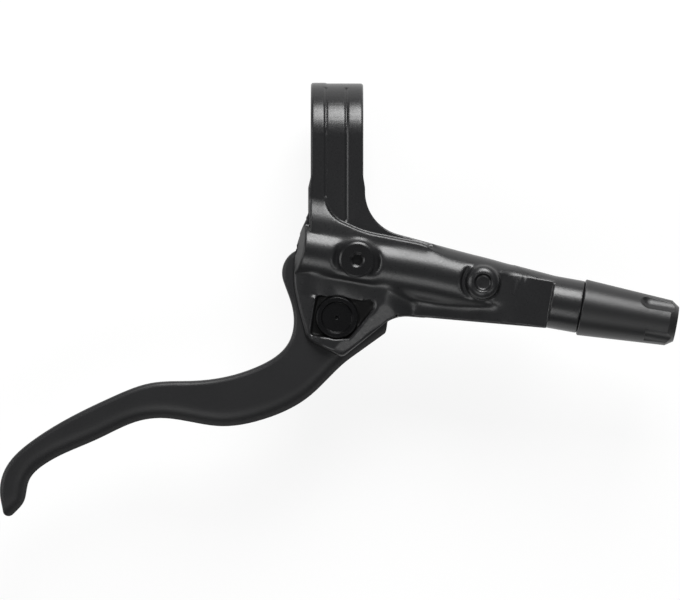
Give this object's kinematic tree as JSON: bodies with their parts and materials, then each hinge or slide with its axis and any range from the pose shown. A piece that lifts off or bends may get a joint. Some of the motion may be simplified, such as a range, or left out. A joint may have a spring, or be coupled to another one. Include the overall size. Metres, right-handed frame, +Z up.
{
  "type": "bicycle brake lever",
  "caption": "Hydraulic disc brake lever for a flat handlebar: cast master cylinder with a clamp band, a curved finger blade on a pivot, a push rod and piston, and a fluted hose cover",
  "frame": {"origin": "middle of the handlebar clamp, on the handlebar's axis", "axes": "+X along the handlebar towards the hose, -Y forwards away from the rider, +Z up with the lever fitted level"},
  "size_m": [0.1935, 0.1239, 0.0362],
  "materials": {
    "cast_body": "satin black paint on a cast aluminium body",
    "lever_alloy": "matt black coat on a forged aluminium lever",
    "cover_plastic": "moulded black plastic",
    "black_steel": "black oxide steel",
    "bleed_alloy": "black anodised aluminium",
    "seal_rubber": "moulded black rubber",
    "spring_steel": "drawn spring steel",
    "plain_steel": "turned steel",
    "bush_bronze": "turned bronze",
    "piston_alloy": "clear anodised aluminium"
  },
  "bodies": {
    "bracket": {"lever_body": "cast_body", "clamp_screw": "black_steel", "clamp_washer": "black_steel", "bleed_screw": "bleed_alloy", "bleed_ring": "seal_rubber", "pivot_axle": "black_steel", "axle_clip": "spring_steel", "piston_clip": "spring_steel", "stop_washer": "plain_steel", "return_spring": "spring_steel", "reservoir_diaphragm": "seal_rubber", "reservoir_cover": "cover_plastic", "cover_screw_front": "black_steel", "cover_screw_rear": "black_steel", "connecting_bolt": "plain_steel", "hose_olive": "bush_bronze", "hose_cover": "cover_plastic"},
    "lever": {"lever_blade": "lever_alloy", "pivot_bush_upper": "bush_bronze", "pivot_bush_lower": "bush_bronze"},
    "barrel": {"cross_barrel": "plain_steel"},
    "rod": {"push_rod": "plain_steel"},
    "plunger": {"piston": "piston_alloy", "primary_seal": "seal_rubber", "secondary_seal": "seal_rubber"}
  },
  "joints": [
    {"name": "lever_pivot", "type": "hinge", "parent": "bracket", "child": "lever", "pos_m": [0, -0.0514, 0.0114], "axis": [0, 0, -1], "range_deg": [0, 20], "stiffness_Nm_per_rad": 0.6, "springref_deg": -17.19},
    {"name": "rod_swing", "type": "hinge", "parent": "lever", "child": "barrel", "pos_m": [-0.0082, -0.0366, 0.0114], "axis": [0, 0, -1], "range_deg": [-12.5, 0]},
    {"name": "reach_adjust", "type": "hinge", "parent": "barrel", "child": "rod", "pos_m": [-0.0082, -0.0366, 0.0114], "axis": [0.9998, 0.0188, 0], "range_deg": [-360, 360]},
    {"name": "piston_slide", "type": "slide", "parent": "bracket", "child": "plunger", "axis": [0.9842, -0.1771, 0], "range_m": [0, 0.0057], "deforming": ["return_spring"]}
  ],
  "couplings": [
    {"joint": "rod_swing", "follows": "lever_pivot", "ratio": -0.5744},
    {"joint": "piston_slide", "follows": "lever_pivot", "m_per_rad": 0.015739}
  ]
}
